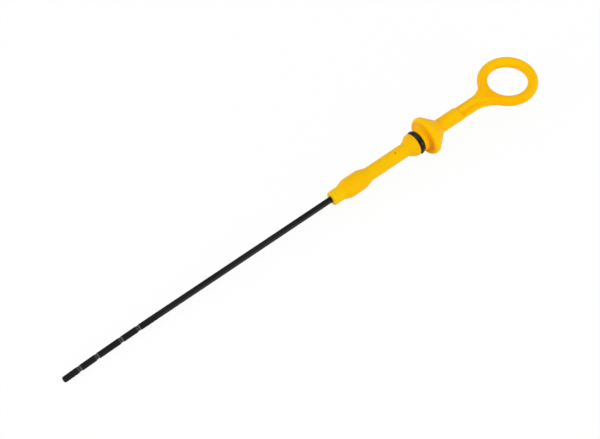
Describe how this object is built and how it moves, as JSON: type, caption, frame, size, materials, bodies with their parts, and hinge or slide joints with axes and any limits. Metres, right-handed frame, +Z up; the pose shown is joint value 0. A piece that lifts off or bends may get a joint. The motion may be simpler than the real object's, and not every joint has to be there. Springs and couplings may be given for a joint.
{
  "type": "engine oil dipstick",
  "caption": "Dipstick with a finger-ring handle, pocketed stem, mushroom flange, sealing plug with an O-ring, and a long thin gauge rod with level marks near its tip.",
  "frame": {"origin": "middle of the part's footprint box, on the surface it lies on", "axes": "+X along the part's length towards the finger ring, +Y to the side, +Z up"},
  "size_m": [0.3552, 0.038, 0.0247],
  "materials": {
    "yellow_plastic": "semi-gloss moulded",
    "black_plastic": "satin",
    "seal_rubber": "soft sheen"
  },
  "bodies": {
    "root": {"handle": "yellow_plastic", "gauge_rod": "black_plastic", "o_ring": "seal_rubber"}
  },
  "joints": []
}
